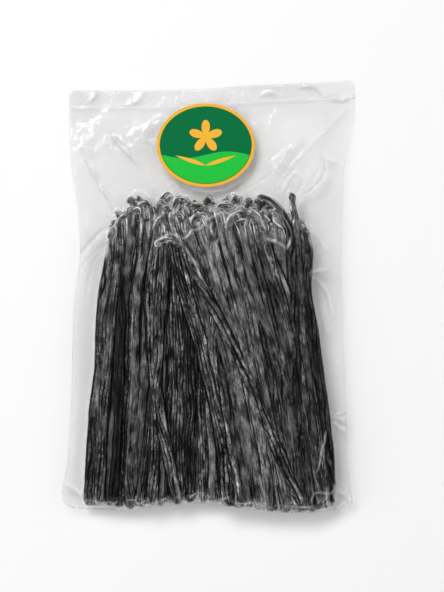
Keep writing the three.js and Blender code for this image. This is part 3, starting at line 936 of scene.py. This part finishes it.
def round_corners(u, v):
    """The sheet's places across and along it, drawn in towards the middle at its four corners."""
    wide, tall = FILM_WIDTH / CORNER_RADIUS, FILM_LENGTH / CORNER_RADIUS
    a = np.clip(1 - np.minimum(u, 1 - u) * wide, 0, 1)
    b = np.clip(1 - np.minimum(v, 1 - v) * tall, 0, 1)
    inward_u = a * (1 - np.sqrt(1 - b * b / 2)) / wide
    inward_v = b * (1 - np.sqrt(1 - a * a / 2)) / tall
    return u + np.where(u < 0.5, inward_u, -inward_u), v + np.where(v < 0.5, inward_v, -inward_v)


def film_plan():
    """The plan of the front film's grid, whose rows lie closer together in the flap."""
    u = np.linspace(0, 1, FILM_COLUMNS + 1)
    v = through([(0, 0), (0.5, 0.58), (1, 1)])(np.linspace(0, 1, FILM_ROWS + 1))
    return sheet_point(*round_corners(*np.meshgrid(u, v)))


def weld_raster(rng, x, y, creased):
    """The welded films' height: creased, gathered and uneven, but calm under the sticker."""
    lively = creased + drawn_in(rng, x, y) + 0.18 * value_noise(rng, x, y, 7) * smooth(outside(x, y) / 6)
    from_label = np.hypot((x - LABEL_X) / LABEL_HALF[0], (y - LABEL_Y) / LABEL_HALF[1])
    stuck, raised = smooth((1.15 - from_label) / 0.15), smooth((1.6 - from_label) / 0.6)
    return weld_height(x, y) + lively * (1 - stuck) + (LABEL_LIFT - 0.25) * raised


def back_faces(index):
    """The back film at half the front's density, with the rim's odd points taken in at its edge."""
    rows, columns = index.shape[0] - 1, index.shape[1] - 1
    faces = []
    for j, i in product(range(0, rows, 2), range(0, columns, 2)):
        around = [(j + down, i + over) for down, over in CELL_RING]
        faces.append([int(index[b, a]) for b, a in around
                      if b % 2 == a % 2 == 0 or b in (0, rows) or a in (0, columns)])
    return faces


def film_mesh(x, y, front_z, back_z):
    """One closed skin from the grid's places and heights: its points, its faces, and at which places
    the back film has a point of its own."""
    index = np.arange(x.size).reshape(x.shape)
    faces = np.stack([index[:-1, :-1], index[:-1, 1:], index[1:, 1:], index[1:, :-1]], axis=-1)
    own = np.zeros(x.shape, bool)
    own[2:-2:2, 2:-2:2] = True
    back_index = index.copy()
    back_index[own] = x.size + np.arange(own.sum())
    front, back = (np.stack([x, y, z], axis=-1) for z in (front_z, back_z))
    points = np.concatenate([front.reshape(-1, 3), back[own]])
    return points, faces.reshape(-1, 4).tolist() + back_faces(back_index), own


def build_film(bundles):
    """The bag: one closed skin, drawn tight over the pods in front and behind, welded all round. Returns
    its surface, for the pods to be pressed in by."""
    rng = np.random.default_rng(11)
    xs = np.arange(-RASTER_X, RASTER_X + 0.1, RASTER_CELL)
    ys = np.arange(-RASTER_Y, RASTER_Y + 0.1, RASTER_CELL)
    x, y = np.meshgrid(xs, ys)
    creases = crease_marks(x, y)
    creased = CREASE_HEIGHT * creases[0]
    weld = weld_raster(rng, x, y, creased)
    above = cast([surface(*bundles[name][:2]) for name in SHOWN_PODS], xs, ys, from_above=True)
    below = cast([surface(*bundles["pods_base"][:2])], xs, ys, from_above=False)
    front = drape(np.fmax(weld + WELD_HALF, above + OVER_PODS + 0.5 * creased))
    back = np.maximum(-drape(-np.fmin(weld - WELD_HALF, below - UNDER_PODS)), FILM_BOTTOM)
    plan = film_plan()
    front_z, back_z, rim = (sample(raster, xs, ys, *plan) for raster in (front, back, weld))
    rim[1:-1, 1:-1] = front_z[1:-1, 1:-1]
    points, faces, own = film_mesh(*plan, rim, back_z)
    made = piece("film", points, faces, film_material(), "pouch")
    slack = front - np.fmax(above, -1)
    steepness = np.hypot(*np.gradient(front, RASTER_CELL))
    valley = blurred(front, 40) - front
    looks = film_looks(rng, x, y, creases, ~np.isnan(above), slack, steepness, valley)
    for name, raster in looks.items():
        values = sample(raster, xs, ys, *plan)
        back_values = values if name == "touch" else 0.3 * values
        set_attribute(made, name, np.concatenate([values.reshape(-1), back_values[own]]))
    return surface(points, faces)


# ---- the label

LABEL_INKS = {
    "amber": (0.81, 0.42, 0.04),
    "dark_green": (0.0006, 0.142, 0.042),
    "bright_green": (0.017, 0.487, 0.048),
}
INK = 0.1  # an ink's thickness
LABEL_RINGS = np.linspace(0.04, 1, 7)  # a field's rings, as shares of its outline
FIELD_HALF = (30, 25.5)
HILL_HALF, HILL_CREST = (29.6, 25.1), -6.5
FLOWER_LENGTH, FLOWER_MIDDLE = 11, (0, 5.5)
LEAF_LENGTH, LEAF_WIDTH, LEAF_SLANT, LEAVES_MIDDLE = 21, 2.6, 1.25, (0, -13.5)


def oval(half_width, half_height, sides=96):
    """An oval's outline."""
    turn = np.linspace(0, 2 * pi, sides, endpoint=False)
    return np.column_stack([half_width * np.cos(turn), half_height * np.sin(turn)])


def hill(half_width, half_height, crest):
    """The part of an oval under a wavy line."""
    across = np.linspace(-half_width, half_width, 90)
    under = -half_height * np.sqrt(np.maximum(1 - (across / half_width) ** 2, 0))
    line = crest + 2.2 * np.sin(across / 9)
    keep = line > under + 0.3
    lower = np.column_stack([across[keep], under[keep]])
    upper = np.column_stack([across[keep], np.minimum(line, -under)[keep]])
    return np.concatenate([lower, upper[::-1]])


def flower(length, petals=5):
    """Pointed petals round a middle, the first one upwards."""
    turn = np.linspace(0, 2 * pi, 24 * petals, endpoint=False)
    reach = 0.3 + 0.7 * np.abs(np.cos(petals / 2 * (turn - pi / 2))) ** 1.2
    return length * np.column_stack([reach * np.cos(turn), reach * np.sin(turn)])


def leaf(angle, length, width):
    """A pointed leaf from the middle outwards."""
    t = np.linspace(0, 1, 24)
    half = width / 2 * np.sin(pi * t**0.8)
    shape = np.concatenate([np.column_stack([t * length, -half]),
                            np.column_stack([t * length, half])[::-1][1:-1]])
    turn = np.array([[cos(angle), sin(angle)], [-sin(angle), cos(angle)]])
    return shape @ turn


def field_mesh(outline, middle, level):
    """A field of the print, one ink thick, that follows the flap: rings round its middle, closed below."""
    x, y = (middle + LABEL_RINGS[:, None, None] * (outline - middle)).transpose(2, 0, 1)
    x, y = x + LABEL_X, y + LABEL_Y
    lifts = [LABEL_LIFT + INK * (level + top) for top in (0, 1)]
    sides = [np.stack([x, y, weld_height(x, y) + lift], axis=-1) for lift in lifts]
    points = np.concatenate([sides[0], sides[1][::-1]]).reshape(-1, 3)
    rings, count = 2 * len(LABEL_RINGS), len(outline)
    index = np.arange(rings * count).reshape(rings, count)
    turned = np.roll(index, -1, axis=1)
    faces = np.stack([index[:-1], turned[:-1], turned[1:], index[1:]], axis=-1).reshape(-1, 4).tolist()
    return points, faces + [index[0, ::-1].tolist(), index[-1].tolist()]


def build_label():
    """The sticker and its print, each field a thin sheet on the one under it."""
    inks = {name: print_material("ink_" + name, colour) for name, colour in LABEL_INKS.items()}
    leaves = [leaf(pi / 2 + side * LEAF_SLANT, LEAF_LENGTH, LEAF_WIDTH) + LEAVES_MIDDLE for side in (-1, 1)]
    fields = [
        ("label_rim", "amber", [oval(*LABEL_HALF)]),
        ("label_field", "dark_green", [oval(*FIELD_HALF)]),
        ("label_hill", "bright_green", [hill(*HILL_HALF, HILL_CREST)]),
        ("label_motif", "amber", [flower(FLOWER_LENGTH) + FLOWER_MIDDLE] + leaves),
    ]
    for level, (name, ink, outlines) in enumerate(fields):
        points, faces = [], []
        for outline in outlines:
            base = sum(map(len, points))
            new_points, new_faces = field_mesh(outline, outline.mean(axis=0), level)
            points.append(new_points)
            faces += [[base + corner for corner in face] for face in new_faces]
        piece(name, np.concatenate(points), faces, inks[ink], "label", shade_smooth=False)


# ---- the studio

# Each soft box: its name, its place and its size in metres, and its watts. All of them face the bag.
SOFT_BOXES = [
    ("key", (-0.9, 1.6, 2.3), (1.6, 1.0), 54),
    ("left", (-2.1, -0.2, 1.75), (2.2, 2.2), 31),
    ("right", (2.1, 0.2, 1.75), (2.2, 2.2), 19),
    ("front", (0.2, -2.1, 1.75), (2.4, 2.2), 15),
]
FLOOR_REACH, FLOOR_Z = 12, -0.0005  # in metres
CAMERA_HEIGHT, VIEW_HEIGHT = 1.2, 0.3858  # over the bag, and of what it takes in, in metres
VIEW_MIDDLE = (0.0086, -0.0004, 0.006)  # in metres, from the outline's origin
SENSOR = 36  # Blender's own, along the picture's longer side


def area_light(name, place, size, watts):
    light = bpy.data.lights.new(name, "AREA")
    light.shape = "RECTANGLE"
    light.size, light.size_y = size
    light.energy = watts
    made = linked(name, light)
    made.location = place
    made.rotation_euler = (-Vector(place)).to_track_quat("-Z", "Y").to_euler()


def build_studio():
    """A white floor, soft boxes round it and a surrounding that is bright near the horizon and dim overhead.
    """
    mesh = bpy.data.meshes.new("floor")
    corners = [(-1, -1), (1, -1), (1, 1), (-1, 1)]
    mesh.from_pydata([(x * FLOOR_REACH, y * FLOOR_REACH, FLOOR_Z) for x, y in corners], [], [(0, 1, 2, 3)])
    mesh.materials.append(floor_material())
    floor = linked("floor", mesh)
    for soft_box in SOFT_BOXES:
        area_light(*soft_box)
    world = bpy.data.worlds.new("studio")
    world.use_nodes = True
    tree = world.node_tree
    way = node(tree, "SeparateXYZ", {0: node(tree, "TexCoord", {}).outputs["Generated"]})
    sky = ramp(tree, way.outputs["Z"], [(0.1, 0.85), (0.22, 0.1)])
    tree.links.new(sky, tree.nodes["Background"].inputs["Color"])
    bpy.context.scene.world = world
    bpy.context.scene.view_settings.view_transform = "Standard"


def build_camera():
    """Straight down on the bag from far enough to look flat."""
    camera = bpy.data.cameras.new("camera")
    camera.lens = SENSOR * CAMERA_HEIGHT / VIEW_HEIGHT
    made = linked("camera", camera)
    made.location = Vector(VIEW_MIDDLE) + Vector(SHIFT * MM) + CAMERA_HEIGHT * UP
    bpy.context.scene.camera = made


# ---- build

build_camera()
build_studio()
laid = lay_pods()
build_pods(laid, build_film(laid))
build_label()
